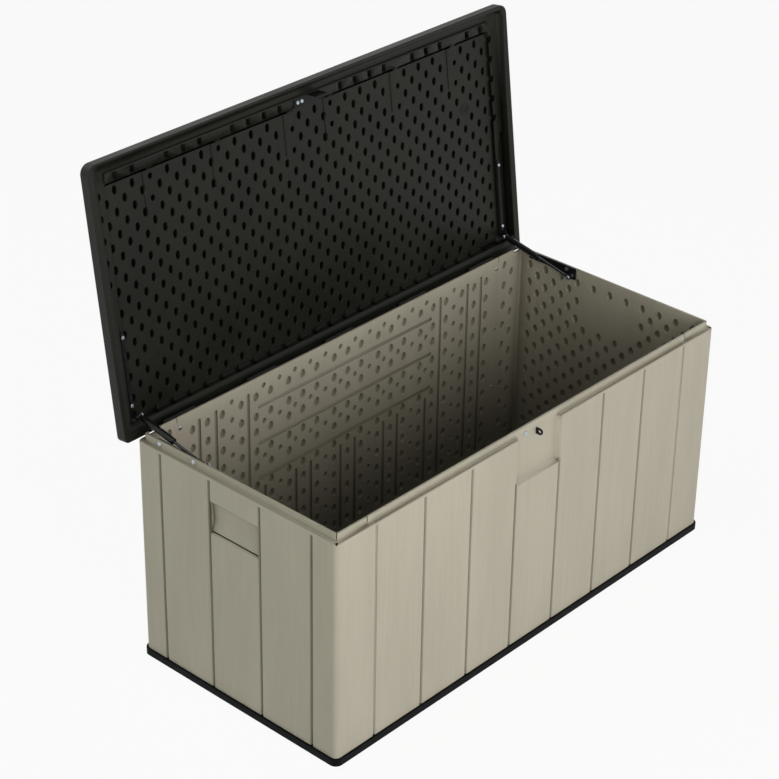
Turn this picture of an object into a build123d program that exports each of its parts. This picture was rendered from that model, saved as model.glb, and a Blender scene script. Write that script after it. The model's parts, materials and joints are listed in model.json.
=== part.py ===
from build123d import *
import math
import os

# Deck storage box of double-walled plastic panels, modelled with its lid open.
# Millimetres, +X to the right, +Y to the rear, +Z up, origin under the middle of the base.

# Driving sizes of the box
wall_length = 1520.0
wall_depth = 704.0
wall_height = 644.0
wall_thick = 20.0
wall_corner = 16.0
inner_corner = 6.0
shoulder_round = 4.0
lip_thick = 6.0
lip_height = 20.0
lip_round = 1.2
base_height = 22.0
base_edge = 6.0
base_corner = 22.0
floor_rise = 26.0

# Grooves, recesses and joints in the walls
board_pitch_long = 177.25
board_pitch_end = 178.0
groove_mouth = 9.0
groove_floor = 3.5
groove_depth = 6.5
groove_top_margin = 3.0
seam_lap = 17.0
handle_height = 96.0
handle_deep = 13.0
handle_drop = 67.5
lock_recess_floor = 158.0
lock_recess_bevel = 11.0
lock_recess_drop = 129.0
crease_wide = 11.0
crease_depth = 5.0
crease_top_margin = 14.0
crease_foot = 320.0
crease_spread = 29.0

# Driving sizes of the lid, in its closed place
lid_side_over = 23.5
lid_front_over = 16.6
lid_rear_over = 27.0
lid_skirt = 35.0
lid_skirt_drop = 2.4
lid_corner = 28.0
lid_rear_corner = 14.0
lid_top_round = 8.0
lid_crown = 13.0
lid_crown_inset = 24.0
lid_crown_slope = 30.0
lid_open_angle = 97.26
skirt_gap_side = 1.2
skirt_gap_front = 4.3
tray_rear_gap = 2.5
field_step = 8.0
field_side_in = 15.4
ledge_drop = 4.0
ledge_gap = 3.0
ledge_wide = 26.0
ledge_end_in = 21.0
notch_pitch = 57.2
notch_wide = 15.0
notch_long = 22.0
gutter_wide = 11.0
gutter_deep = 8.0
web_wide = 13.0
web_near = 75.5
web_mid = 336.5
web_far = 571.5
pad_wide = 38.0
pad_long = 116.0
pad_proud = 1.5
flute_pitch = 58.9
flute_shift = 52.9
flute_radius = 7.0
flute_high = 18.0
flute_sink = 2.0
pocket_step = 6.0
pocket_in = 16.0

# Hinge
hinge_back = 17.3
hinge_down = 2.5
knuckle_radius = 8.0
hinge_pin_radius = 4.0
hinge_station_pitch = 300.0
wall_knuckle_long = 18.0
lid_knuckle_long = 45.0

# Gas struts and their brackets
steel_thick = 3.0
wall_pivot_in = 197.0
wall_pivot_drop = 4.0
lid_pivot_ahead = 47.3
lid_pivot_rise = 3.0
strut_tube_radius = 9.0
strut_tube_wall = 1.4
strut_tube_long = 114.0
strut_rod_radius = 4.0
strut_grip = 25.0
eye_radius = 7.0
eye_thick = 10.0
eye_neck = 16.0
pivot_radius = 4.0
bolt_radius = 3.0
bolt_head_radius = 6.5
bolt_head_high = 3.5
nut_flats = 10.0
nut_high = 4.5
bolt_rear_in = 51.0
bolt_front_in = 176.0
bolt_rise = 11.0
lid_bolt_rear_in = 37.0
lid_bolt_front_in = 227.0
pocket_past_bolt = 95.0

# Small fastenings
screw_radius = 2.2
screw_head_radius = 5.4
screw_head_high = 2.6
latch_thick = 2.5
loop_thick = 4.0
loop_high = 18.0
loop_out = 22.0
loop_hole_radius = 4.8
lock_screw_side = 44.0
lock_screw_drop = 4.0
lock_leaf_past = 14.0
lock_leaf_over = 4.0
hasp_left = 62.0
hasp_right = 30.0
hasp_deep = 23.0
hasp_front_in = 2.5
hasp_tab_left = 10.0
hasp_tab_down = 8.0
hasp_screw_left = 50.0
hasp_screw_right = 35.0
hasp_screw_in = 17.0
hasp_screw_long = 12.0
seam_screw_top = 14.0
seam_screw_pitch = 197.0

# Clearances
seam_gap = 0.4
floor_gap = 0.5
turn_gap = 0.05
hole_gap = 0.10
side_gap = 0.5
closed_gap = 0.6
sweep_gap = 2.0
end_gap = 0.3

# Places worked out from the sizes above
half_long = wall_length / 2
half_deep = wall_depth / 2
shoulder_z = base_height + wall_height
lip_top_z = shoulder_z + lip_height
inner_x = half_long - wall_thick
inner_y = half_deep - wall_thick
lip_x = inner_x + lip_thick
lip_y = inner_y + lip_thick
seam_x = 3.5 * board_pitch_long
tongue_x = seam_x + seam_lap
lap_y = wall_thick / 2
hinge_y = half_deep + hinge_back
hinge_z = shoulder_z - hinge_down
lid_x = half_long + lid_side_over
lid_front_y = -half_deep - lid_front_over
lid_rear_y = half_deep + lid_rear_over
lid_low_z = shoulder_z - lid_skirt_drop
lid_top_z = lid_low_z + lid_skirt
rest_z = shoulder_z + closed_gap
tray_z = lip_top_z + closed_gap
field_z = tray_z + field_step
ledge_z = tray_z - ledge_drop
tray_x = half_long + skirt_gap_side
tray_front_y = -half_deep - skirt_gap_front
tray_rear_y = lip_y + tray_rear_gap
field_x = inner_x - field_side_in
ledge_front_y = -inner_y + ledge_gap
field_front_y = ledge_front_y + ledge_wide
ledge_x = inner_x - ledge_end_in
plate_x = inner_x - steel_thick
strut_x = plate_x - nut_high - 1.0 - strut_tube_radius
ear_x = strut_x + eye_thick / 2 + side_gap
strut_clear_x = strut_x - eye_thick / 2 - bolt_head_high - sweep_gap - 1.5
bar_in_x = field_x + side_gap
bar_out_x = plate_x - 2 * side_gap
wall_pivot_z = shoulder_z - wall_pivot_drop
wall_pivot_y = inner_y - wall_pivot_in
bolt_rear_y = inner_y - bolt_rear_in
bolt_front_y = inner_y - bolt_front_in
lid_bolt_rear_y = inner_y - lid_bolt_rear_in
lid_bolt_front_y = inner_y - lid_bolt_front_in

# Strut end on the lid, closed and open, and the strut's line in the open lid
open_turn = math.radians(lid_open_angle)
lid_pivot_y = hinge_y - lid_pivot_ahead
lid_pivot_z = shoulder_z + lid_pivot_rise
ahead_y = lid_pivot_y - hinge_y
ahead_z = lid_pivot_z - hinge_z
open_pivot_y = hinge_y + ahead_y * math.cos(open_turn) + ahead_z * math.sin(open_turn)
open_pivot_z = hinge_z - ahead_y * math.sin(open_turn) + ahead_z * math.cos(open_turn)
strut_run = open_pivot_y - wall_pivot_y
strut_climb = open_pivot_z - wall_pivot_z
strut_long = math.hypot(strut_run, strut_climb)
strut_slope = math.degrees(math.atan2(strut_climb, strut_run))

long_grooves = [(k + 0.5) * board_pitch_long for k in range(-4, 4)]
end_grooves = [(k + 0.5) * board_pitch_end for k in range(-2, 2)]
tall_creases = [384.0, 502.0, 562.0]
level_creases = [69.5, 183.0, 294.0]
hinge_stations = [k * hinge_station_pitch for k in range(-2, 3)]
seam_screw_z = [shoulder_z - seam_screw_top - k * seam_screw_pitch for k in range(4)]
web_places = [-web_far, -web_mid, -web_near, web_near, web_mid, web_far]
sides = {"left": -1, "right": 1}


def block(x0, x1, y0, y1, z0, z1):
    middle = Pos((x0 + x1) / 2, (y0 + y1) / 2, (z0 + z1) / 2)
    return middle * Box(abs(x1 - x0), abs(y1 - y0), abs(z1 - z0))


def slab(long, deep, radius, y_mid, z0, z1):
    outline = Pos(0, y_mid, z0) * RectangleRounded(long, deep, radius)
    return extrude(outline, z1 - z0)


def rod_x(x0, x1, y, z, radius):
    turned = Rot(0, 90, 0) * Cylinder(radius, abs(x1 - x0))
    return Pos((x0 + x1) / 2, y, z) * turned


def rod_y(x, y0, y1, z, radius):
    turned = Rot(90, 0, 0) * Cylinder(radius, abs(y1 - y0))
    return Pos(x, (y0 + y1) / 2, z) * turned


def rod_z(x, y, z0, z1, radius):
    return Pos(x, y, (z0 + z1) / 2) * Cylinder(radius, abs(z1 - z0))


def prism_z(points, z0, z1):
    outline = make_face(Polyline(*points, close=True))
    return extrude(Pos(0, 0, z0) * outline, z1 - z0)


def prism_x(points, x0, x1):
    # points are (y, z) pairs
    face_plane = Plane(origin=(x0, 0, 0), x_dir=(0, 1, 0), z_dir=(1, 0, 0))
    outline = face_plane * make_face(Polyline(*points, close=True))
    return extrude(outline, x1 - x0, dir=(1, 0, 0))


def prism_y(points, y0, y1):
    # points are (x, z) pairs
    face_plane = Plane(origin=(0, y0, 0), x_dir=(1, 0, 0), z_dir=(0, -1, 0))
    outline = face_plane * make_face(Polyline(*points, close=True))
    return extrude(outline, y1 - y0, dir=(0, 1, 0))


def opened(shape):
    # carry a lid piece from its closed place to the open one
    hinge_line = Axis((0, hinge_y, hinge_z), (1, 0, 0))
    return shape.rotate(hinge_line, -lid_open_angle)


def save(shape, node):
    export_step(shape, "parts/" + node + ".step")


def make_wall_ring():
    outer = slab(wall_length, wall_depth, wall_corner, 0, base_height, shoulder_z)
    outer = fillet(outer.edges().group_by(Axis.Z)[-1], shoulder_round)
    lip = slab(2 * lip_x, 2 * lip_y, inner_corner, 0, shoulder_z - 1.0, lip_top_z)
    room = slab(2 * inner_x, 2 * inner_y, inner_corner, 0, base_height - 1.0, lip_top_z + 1.0)
    ring = outer + lip - room
    return fillet(ring.edges().group_by(Axis.Z)[-1], lip_round)


def board_groove(across, face, inward, z0, z1):
    # one upright groove between two boards, on a front or rear face
    mouth = groove_mouth / 2
    floor = groove_floor / 2
    slope = (mouth - floor) / groove_depth
    points = [
        (across - mouth - slope, face - inward),
        (across + mouth + slope, face - inward),
        (across + floor, face + inward * groove_depth),
        (across - floor, face + inward * groove_depth),
    ]
    return prism_z(points, z0, z1)


def end_board_groove(across, face, inward, z0, z1):
    mouth = groove_mouth / 2
    floor = groove_floor / 2
    slope = (mouth - floor) / groove_depth
    points = [
        (face - inward, across - mouth - slope),
        (face - inward, across + mouth + slope),
        (face + inward * groove_depth, across + floor),
        (face + inward * groove_depth, across - floor),
    ]
    return prism_z(points, z0, z1)


def cut_grooves(ring):
    top = shoulder_z - shoulder_round - groove_top_margin
    low = base_height - 1.0
    recess_low = shoulder_z - lock_recess_drop
    for across in long_grooves:
        beside_lock = abs(across) < board_pitch_long
        front_top = recess_low if beside_lock else top
        ring -= board_groove(across, -half_deep, 1, low, front_top)
        ring -= board_groove(across, half_deep, -1, low, top)
    for across in end_grooves:
        ring -= end_board_groove(across, -half_long, 1, low, top)
        ring -= end_board_groove(across, half_long, -1, low, top)
    return ring


def upright_crease(x, facing, z0, z1):
    # round-ended crease in the inner face of a long wall; facing points into the box
    face = -facing * inner_y
    face_plane = Plane(origin=(x, face, (z0 + z1) / 2), x_dir=(0, 0, 1), z_dir=(0, -facing, 0))
    return extrude(face_plane * SlotOverall(z1 - z0, crease_wide), crease_depth)


def level_crease(z, facing, half_run):
    face = -facing * inner_y
    face_plane = Plane(origin=(0, face, z), x_dir=(1, 0, 0), z_dir=(0, -facing, 0))
    return extrude(face_plane * SlotOverall(2 * half_run, crease_wide), crease_depth)


def wall_creases(facing):
    top = shoulder_z - crease_top_margin
    low = base_height + floor_rise + crease_top_margin
    foot = base_height + crease_foot
    pieces = []
    for across in tall_creases:
        for side in sides.values():
            pieces.append(upright_crease(side * across, facing, low, top))
    half_run = tall_creases[0] - 1.5 * crease_top_margin - 0.5 * crease_spread
    if facing < 0:
        for drop in level_creases:
            pieces.append(level_crease(shoulder_z - drop, facing, half_run))
    for k in range(-2, 3):
        middle = k * board_pitch_long
        for way in (-1, 1):
            across = middle + way * crease_spread
            if abs(across) < half_run:
                pieces.append(upright_crease(across, facing, low, foot))
    return pieces


def lock_recess():
    # finger recess at the front, its floor in line with the lip, bevelled at sides and foot
    deep = wall_thick - lip_thick
    half_floor = lock_recess_floor / 2
    half_mouth = half_floor + lock_recess_bevel
    slope = lock_recess_bevel / deep
    past = 1.0
    wide = half_mouth + slope * past
    floor_low = shoulder_z - lock_recess_drop
    mouth_low = floor_low - lock_recess_bevel - slope * past
    top = lip_top_z + 1.0
    mouth_plane = Plane(origin=(0, -half_deep - past, 0), x_dir=(1, 0, 0), z_dir=(0, -1, 0))
    floor_plane = Plane(origin=(0, -lip_y, 0), x_dir=(1, 0, 0), z_dir=(0, -1, 0))
    mouth = mouth_plane * make_face(
        Polyline((-wide, mouth_low), (wide, mouth_low), (wide, top), (-wide, top), close=True))
    floor = floor_plane * make_face(
        Polyline((-half_floor, floor_low), (half_floor, floor_low),
                 (half_floor, top), (-half_floor, top), close=True))
    return loft([mouth, floor])


def handle_recess(side):
    # hand hold in an end wall, deepest in the middle, with a sharp upper edge to lift by
    face = side * half_long
    inward = -side
    top = shoulder_z - handle_drop
    low = top - handle_height
    middle = top - 0.54 * handle_height
    half_wide = board_pitch_end / 2 - groove_mouth / 2
    points = [
        (face - inward, top),
        (face + inward * 0.7 * handle_deep, top + 2.0),
        (face + inward * handle_deep, middle),
        (face + inward * 0.4 * handle_deep, low + 3.0),
        (face - inward, low),
    ]
    return prism_y(points, -half_wide, half_wide)


def front_region(grow):
    # the shiplapped share of the wall ring that belongs to a front or rear panel
    outer = block(-seam_x - grow, seam_x + grow, -half_deep - 1, -half_deep + lap_y,
                  0, lip_top_z + 1)
    inner = block(-tongue_x - grow, tongue_x + grow, -half_deep + lap_y - grow,
                  -inner_y + 1, 0, lip_top_z + 1)
    return outer + inner


def rear_region(grow):
    return front_region(grow).rotate(Axis.Z, 180)


def seam_screw(x, z, facing):
    # facing is the way from the wall into the box, +1 at the front and -1 at the rear
    face = -facing * inner_y
    head = rod_y(x, face, face + facing * screw_head_high, z, screw_head_radius)
    head = chamfer(head.edges().sort_by(Axis.Y)[-1 if facing > 0 else 0], 1.0)
    shank = rod_y(x, face - facing * 0.7 * wall_thick, face, z, screw_radius)
    return head + shank


def seam_screw_places():
    middle_x = (seam_x + tongue_x) / 2 + 0.5
    places = []
    for facing in (1, -1):
        for side in sides.values():
            for z in seam_screw_z:
                places.append((side * middle_x, z, facing))
    return places


def wall_knuckle(x):
    half = wall_knuckle_long / 2
    barrel = rod_x(x - half, x + half, hinge_y, hinge_z, knuckle_radius)
    foot = hinge_z - 3.2 * knuckle_radius
    web_points = [
        (half_deep - 1.0, foot),
        (half_deep, foot),
        (hinge_y + 0.5 * knuckle_radius, hinge_z - 0.86 * knuckle_radius),
        (hinge_y - 0.5 * knuckle_radius, hinge_z - 0.2 * knuckle_radius),
        (half_deep - 1.0, hinge_z - 0.2 * knuckle_radius),
    ]
    web = prism_x(web_points, x - half, x + half)
    bore = rod_x(x - half - 1, x + half + 1, hinge_y, hinge_z, hinge_pin_radius + turn_gap)
    return barrel + web - bore


def make_panels():
    ring = cut_grooves(make_wall_ring())
    ring -= lock_recess()
    for side in sides.values():
        ring -= handle_recess(side)
    for x, z, facing in seam_screw_places():
        face = -facing * inner_y
        ring -= rod_y(x, face - facing * (0.7 * wall_thick + end_gap), face + facing, z,
                      screw_radius + hole_gap)

    for facing in (1, -1):
        for piece in wall_creases(facing):
            ring -= piece

    front = ring & front_region(0)
    rear = ring & rear_region(0)
    ends = ring - front_region(seam_gap) - rear_region(seam_gap)

    # way for the lock loop and its screw through the thin floor of the recess
    slot_high = loop_high / 2 + hole_gap
    loop_z = lock_place()
    front -= block(-loop_thick / 2 - hole_gap, loop_thick / 2 + hole_gap, -lip_y - 1,
                   -inner_y + 1, loop_z - slot_high, loop_z + slot_high)
    front -= rod_y(lock_screw_x(), -lip_y - 1, -inner_y + 1, lock_screw_z(),
                   bolt_radius + hole_gap)

    for x in hinge_stations:
        rear += wall_knuckle(x)

    # end panels: bolt holes in the lip, and a gap in the rear lip where the strut passes
    for side in sides.values():
        for y in (bolt_front_y, bolt_rear_y):
            ends -= rod_x(side * (inner_x - 1), side * (lip_x + 1), y, shoulder_z + bolt_rise,
                          bolt_radius + hole_gap)
        ends -= block(side * (strut_clear_x - sweep_gap), side * (inner_x - inner_corner),
                      inner_y - 1, lip_y + 1, shoulder_z + lip_height / 2, lip_top_z + 1)
    left = ends & block(-wall_length, 0, -wall_depth, wall_depth, 0, lip_top_z + 1)
    right = ends & block(0, wall_length, -wall_depth, wall_depth, 0, lip_top_z + 1)
    return front, rear, left, right


def lock_place():
    # as high as the loop can stand under the closed lid's rim
    return lid_low_z - closed_gap - loop_high / 2


def lock_screw_x():
    return -lock_screw_side


def lock_screw_z():
    return shoulder_z - lock_screw_drop


def make_base():
    edge = slab(wall_length + 2 * base_edge, wall_depth + 2 * base_edge, base_corner, 0,
                0, base_height)
    edge = fillet(edge.edges().group_by(Axis.Z)[-1], 2.0)
    edge = chamfer(edge.edges().group_by(Axis.Z)[0], 1.5)
    floor = slab(2 * (inner_x - floor_gap), 2 * (inner_y - floor_gap), inner_corner, 0,
                 base_height - 1, base_height + floor_rise)
    floor = fillet(floor.edges().group_by(Axis.Z)[-1], 4.0)
    base = edge + floor
    top = base_height + floor_rise
    for across in long_grooves:
        base -= block(across - 4, across + 4, -inner_y + 40, inner_y - 40, top - 4, top + 1)
    return base


def lid_crown_panel():
    # shallow raised panel on the lid's top, so that rain runs off
    deep = lid_rear_y - lid_front_y
    mid = (lid_rear_y + lid_front_y) / 2
    foot_in = 2 * lid_crown_inset
    head_in = 2 * (lid_crown_inset + lid_crown_slope)
    foot = RectangleRounded(2 * lid_x - foot_in, deep - foot_in, lid_corner)
    head = RectangleRounded(2 * lid_x - head_in, deep - head_in, lid_corner)
    panel = loft([Pos(0, mid, lid_top_z - 1.0) * foot, Pos(0, mid, lid_top_z + lid_crown) * head])
    return panel


def lid_tray():
    # hollow inside the skirt: a seat over the walls' lip, and the deeper field within it
    tray = slab(2 * tray_x, tray_rear_y - tray_front_y, wall_corner,
                (tray_rear_y + tray_front_y) / 2, lid_low_z - 1, tray_z)
    field = slab(2 * field_x, tray_rear_y - field_front_y, wall_corner,
                 (tray_rear_y + field_front_y) / 2, tray_z - 1, field_z)
    rest_rear = hinge_y - 1.6 * knuckle_radius
    rest = block(-tray_x, tray_x, 0, rest_rear, lid_low_z - 1, rest_z)
    return tray + field + rest


def lid_ledge():
    # ledge along the front of the field, just inside the front wall's lip, with notches in it
    ledge = block(-ledge_x, ledge_x, ledge_front_y, field_front_y, ledge_z, tray_z + 1)
    ledge += block(-ledge_x, ledge_x, field_front_y - 1, field_front_y, tray_z, field_z + 1)
    return ledge


def ledge_notches():
    notches = []
    count = int(ledge_x / notch_pitch)
    for k in range(-count, count + 1):
        across = k * notch_pitch
        at_web = min(abs(across - web) for web in web_places) < notch_wide
        if at_web or abs(across) < web_near:
            continue
        notches.append(block(across - notch_wide / 2, across + notch_wide / 2,
                             field_front_y - notch_long, field_front_y + 1,
                             ledge_z - 1, field_z))
    return notches


def gutter_parts():
    # narrow groove between ledge and field, stopped by the webs
    pieces = []
    stops = [-ledge_x] + web_places + [ledge_x]
    for k in range(len(stops) - 1):
        start = stops[k] + (web_wide / 2 if k > 0 else 0)
        stop = stops[k + 1] - (web_wide / 2 if k < len(stops) - 2 else 0)
        if start < 0 < stop:
            continue
        pieces.append(block(start, stop, field_front_y, field_front_y + gutter_wide,
                            field_z - 1, field_z + gutter_deep))
    return pieces


def lid_webs():
    # sloped ribs that run from the ledge over the groove down to the pads
    points = [
        (field_front_y - 1, ledge_z),
        (field_front_y + 2, ledge_z),
        (field_front_y + gutter_wide + 2, field_z - pad_proud),
        (field_front_y + gutter_wide + 2, field_z + 1),
        (field_front_y - 1, field_z + 1),
    ]
    return [prism_x(points, x - web_wide / 2, x + web_wide / 2) for x in web_places]


def lid_pads():
    start = field_front_y + gutter_wide
    half = pad_wide / 2
    return [block(x - half, x + half, start, start + pad_long, field_z - pad_proud, field_z + 1)
            for x in web_places]


def rear_flutes():
    # upright flutes in the tray's rear wall, one between each two dimples of the field
    flutes = []
    count = int(field_x / flute_pitch) + 1
    for k in range(-count, count):
        across = k * flute_pitch + flute_shift
        if abs(across) < field_x - 3 * flute_radius:
            flutes.append(rod_z(across, tray_rear_y, field_z - flute_high, field_z + flute_sink,
                                flute_radius))
    return flutes


def strut_pocket(side):
    # deeper strip beside the strut's bracket, out to the skirt
    front_end = lid_bolt_front_y - pocket_past_bolt
    return block(side * (tray_x - pocket_in), side * tray_x, front_end, tray_rear_y - 1,
                 tray_z - 1, tray_z + pocket_step)


def make_lid():
    deep = lid_rear_y - lid_front_y
    mid = (lid_rear_y + lid_front_y) / 2
    outline = Rectangle(2 * lid_x, deep)
    outline = fillet(outline.vertices().group_by(Axis.Y)[0], lid_corner)
    outline = fillet(outline.vertices().group_by(Axis.Y)[-1], lid_rear_corner)
    lid = extrude(Pos(0, mid, lid_low_z) * outline, lid_skirt)
    lid = fillet(lid.edges().group_by(Axis.Z)[-1], lid_top_round)
    lid = fillet(lid.edges().group_by(Axis.Z)[0], 2.5)

    lid += lid_crown_panel()
    lid -= lid_tray()
    lid += lid_ledge()
    for piece in gutter_parts() + ledge_notches():
        lid -= piece
    for piece in lid_webs() + lid_pads():
        lid += piece
    for piece in rear_flutes():
        lid -= piece
    for side in sides.values():
        lid -= strut_pocket(side)
        for y in (lid_bolt_front_y, lid_bolt_rear_y):
            lid -= rod_z(side * lid_bolt_x(), y, tray_z - 1, tray_z + 10.3,
                         bolt_radius + hole_gap)
    for x, y in hasp_screw_places():
        lid -= rod_z(x, y, ledge_z - 1, ledge_z + hasp_screw_long + end_gap,
                     screw_radius + hole_gap)

    # lid knuckles either side of each wall knuckle, and room for the wall knuckles
    half = wall_knuckle_long / 2
    for x in hinge_stations:
        for side in sides.values():
            near = x + side * (half + side_gap)
            far = near + side * lid_knuckle_long
            lid += rod_x(near, far, hinge_y, hinge_z, knuckle_radius)
    for x in hinge_stations:
        reach = half + side_gap
        lid -= rod_x(x - reach, x + reach, hinge_y, hinge_z, knuckle_radius + sweep_gap)
        pin_reach = reach + lid_knuckle_long
        head_room = pin_reach + bolt_head_high + 1.0
        lid -= rod_x(x - pin_reach - 1, x + pin_reach + 1, hinge_y, hinge_z,
                     hinge_pin_radius + turn_gap)
        for side in sides.values():
            lid -= rod_x(x + side * pin_reach, x + side * head_room, hinge_y, hinge_z,
                         hinge_pin_radius + 2.0 + sweep_gap)
    return lid


def hinge_pin(x):
    reach = wall_knuckle_long / 2 + side_gap + lid_knuckle_long + end_gap
    pin = rod_x(x - reach, x + reach, hinge_y, hinge_z, hinge_pin_radius)
    for side in sides.values():
        face = x + side * reach
        pin += rod_x(face, face + side * 2.5, hinge_y, hinge_z, hinge_pin_radius + 2.0)
    return pin


def lid_bolt_x():
    return (bar_in_x + bar_out_x) / 2


def lid_bracket(side):
    # flat bar under the tray's seat with an ear folded down at its rear end
    outer = ear_x + steel_thick
    roof = tray_z - turn_gap
    low = tray_z - steel_thick
    front_end = lid_bolt_front_y - 14.0
    rear_end = lid_pivot_y + eye_radius + 1.0
    bar = block(side * bar_in_x, side * bar_out_x, front_end, rear_end, low, roof)
    bar = fillet(bar.edges().filter_by(Axis.Z), 3.0)
    ear_round = eye_radius + 1.0
    ear = block(side * ear_x, side * outer, lid_pivot_y - ear_round - 6, rear_end,
                lid_pivot_z, roof)
    ear += rod_x(side * ear_x, side * outer, lid_pivot_y, lid_pivot_z, ear_round)
    bracket = bar + ear
    bracket -= rod_x(side * (ear_x - 1), side * (outer + 1), lid_pivot_y, lid_pivot_z,
                     pivot_radius + turn_gap)
    for y in (lid_bolt_front_y, lid_bolt_rear_y):
        bracket -= rod_z(side * lid_bolt_x(), y, low - 1, tray_z + 1,
                         bolt_radius + hole_gap)
    return bracket


def lid_bracket_bolt(side, y):
    low = tray_z - steel_thick
    head = rod_z(side * lid_bolt_x(), y, low - 3.0, low, 5.0)
    head = chamfer(head.edges().sort_by(Axis.Z)[0], 1.0)
    shank = rod_z(side * lid_bolt_x(), y, low, tray_z + 10.0, bolt_radius)
    return head + shank


def lid_pivot_bolt(side):
    inner = strut_x - eye_thick / 2 - end_gap
    head = rod_x(side * (inner - bolt_head_high), side * inner, lid_pivot_y, lid_pivot_z,
                 bolt_head_radius)
    head = chamfer(head.edges().sort_by(Axis.X)[0 if side > 0 else -1], 1.2)
    shank = rod_x(side * inner, side * (ear_x + steel_thick + 1.5), lid_pivot_y, lid_pivot_z,
                  pivot_radius)
    return head + shank


def wall_bracket(side):
    # upright plate inside the rim, held by two bolts, its front foot beside the strut's end
    rear_end = bolt_rear_y + 16.0
    front_end = wall_pivot_y - 12.0
    top = lip_top_z
    foot = wall_pivot_z - 12.0
    narrow = shoulder_z - 3.0
    points = [
        (front_end, foot),
        (wall_pivot_y + 14.0, foot),
        (bolt_front_y + 22.0, narrow),
        (rear_end, narrow),
        (rear_end, top),
        (front_end, top),
    ]
    plate = prism_x(points, side * plate_x, side * inner_x)
    plate = fillet(plate.edges().filter_by(Axis.X), 4.0)
    for y in (bolt_front_y, bolt_rear_y):
        plate -= rod_x(side * (plate_x - 1), side * (inner_x + 1), y, shoulder_z + bolt_rise,
                       bolt_radius + hole_gap)
    return plate


def wall_bracket_bolt(side, y):
    z = shoulder_z + bolt_rise
    head = rod_x(side * lip_x, side * (lip_x + bolt_head_high), y, z, bolt_head_radius)
    head = fillet(head.edges().sort_by(Axis.X)[-1 if side > 0 else 0], 1.6)
    shank = rod_x(side * (plate_x - nut_high), side * lip_x, y, z, bolt_radius)
    return head + shank


def wall_bracket_nut(side, y):
    z = shoulder_z + bolt_rise
    start = side * (plate_x - nut_high) if side > 0 else side * plate_x
    face_plane = Plane(origin=(start, y, z), x_dir=(0, 1, 0), z_dir=(1, 0, 0))
    hexagon = face_plane * RegularPolygon(nut_flats / 2, 6, major_radius=False)
    nut = extrude(hexagon, nut_high, dir=(1, 0, 0))
    return nut - rod_x(side * (plate_x - nut_high - 1), side * (plate_x + 1), y, z,
                       bolt_radius + hole_gap)


def on_strut(side, shape):
    # strut pieces are drawn along +Z from the lid pivot, then laid on the strut's line
    laid = Rot(90 + strut_slope, 0, 0) * shape
    return Pos(side * strut_x, open_pivot_y, open_pivot_z) * laid


def strut_tube():
    start = eye_neck
    stop = start + strut_tube_long
    bore = strut_tube_radius - strut_tube_wall
    tube = rod_z(0, 0, start, stop, strut_tube_radius)
    tube = fillet(tube.edges().filter_by(GeomType.CIRCLE), 1.5)
    tube -= rod_z(0, 0, start + 4, stop - 4, bore)
    tube -= rod_z(0, 0, stop - 5, stop + 1, strut_rod_radius + turn_gap)
    return tube


def strut_rod():
    tip = eye_neck + strut_tube_long - strut_grip
    return rod_z(0, 0, tip, strut_long - eye_neck + 4, strut_rod_radius)


def strut_piston():
    tip = eye_neck + strut_tube_long - strut_grip
    bore = strut_tube_radius - strut_tube_wall
    piston = rod_z(0, 0, tip, tip + 8, bore - turn_gap)
    return piston - rod_z(0, 0, tip - 1, tip + 9, strut_rod_radius + hole_gap)


def strut_eye(neck_way, bore_for_rod):
    eye = rod_x(-eye_thick / 2, eye_thick / 2, 0, 0, eye_radius)
    stop = eye_neck * neck_way
    neck = rod_z(0, 0, 0, stop, eye_thick / 2 - side_gap)
    eye = eye + neck
    eye -= rod_x(-eye_thick, eye_thick, 0, 0, pivot_radius + turn_gap)
    if bore_for_rod:
        eye -= rod_z(0, 0, (eye_neck - 4 - end_gap) * neck_way, (eye_neck + 1) * neck_way,
                     strut_rod_radius + hole_gap)
    return eye


def wall_pivot(side):
    # shouldered stud in the strut's wall end, its foot just clear of the bracket
    inner = strut_x - eye_thick / 2 - end_gap
    head = rod_x(side * (inner - bolt_head_high), side * inner, wall_pivot_y, wall_pivot_z,
                 bolt_head_radius)
    head = chamfer(head.edges().sort_by(Axis.X)[0 if side > 0 else -1], 1.2)
    shank = rod_x(side * inner, side * (plate_x - end_gap), wall_pivot_y, wall_pivot_z,
                  pivot_radius)
    collar = rod_x(side * (strut_x + eye_thick / 2 + end_gap), side * (plate_x - end_gap),
                   wall_pivot_y, wall_pivot_z, eye_radius - 1.0)
    return head + shank + collar


def make_lock_loop():
    # bent plate: leaf on the inner face, tongue out through the slot, eye at its end
    z = lock_place()
    half = loop_high / 2
    tip = -lip_y - loop_out
    tongue = block(-loop_thick / 2, loop_thick / 2, tip + half, -inner_y + latch_thick,
                   z - half, z + half)
    tongue += rod_x(-loop_thick / 2, loop_thick / 2, tip + half, z, half)
    tongue -= rod_x(-loop_thick, loop_thick, tip + half + 0.5, z, loop_hole_radius)
    leaf = block(lock_screw_x() - lock_leaf_past, loop_thick / 2, -inner_y,
                 -inner_y + latch_thick, z - half - lock_leaf_over, z + half + lock_leaf_over)
    leaf = fillet(leaf.edges().filter_by(Axis.Y), 3.0)
    loop = tongue + leaf
    return loop - rod_y(lock_screw_x(), -inner_y - 1, -inner_y + latch_thick + 1,
                        lock_screw_z(), bolt_radius + hole_gap)


def make_lock_screw():
    x = lock_screw_x()
    z = lock_screw_z()
    head = rod_y(x, -lip_y - 3.0, -lip_y, z, 7.0)
    head = fillet(head.edges().sort_by(Axis.Y)[0], 1.4)
    return head + rod_y(x, -lip_y, -inner_y + latch_thick, z, bolt_radius)


def hasp_screw_places():
    y = -inner_y + hasp_screw_in
    return [(-hasp_screw_left, y), (-hasp_screw_right, y)]


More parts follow.
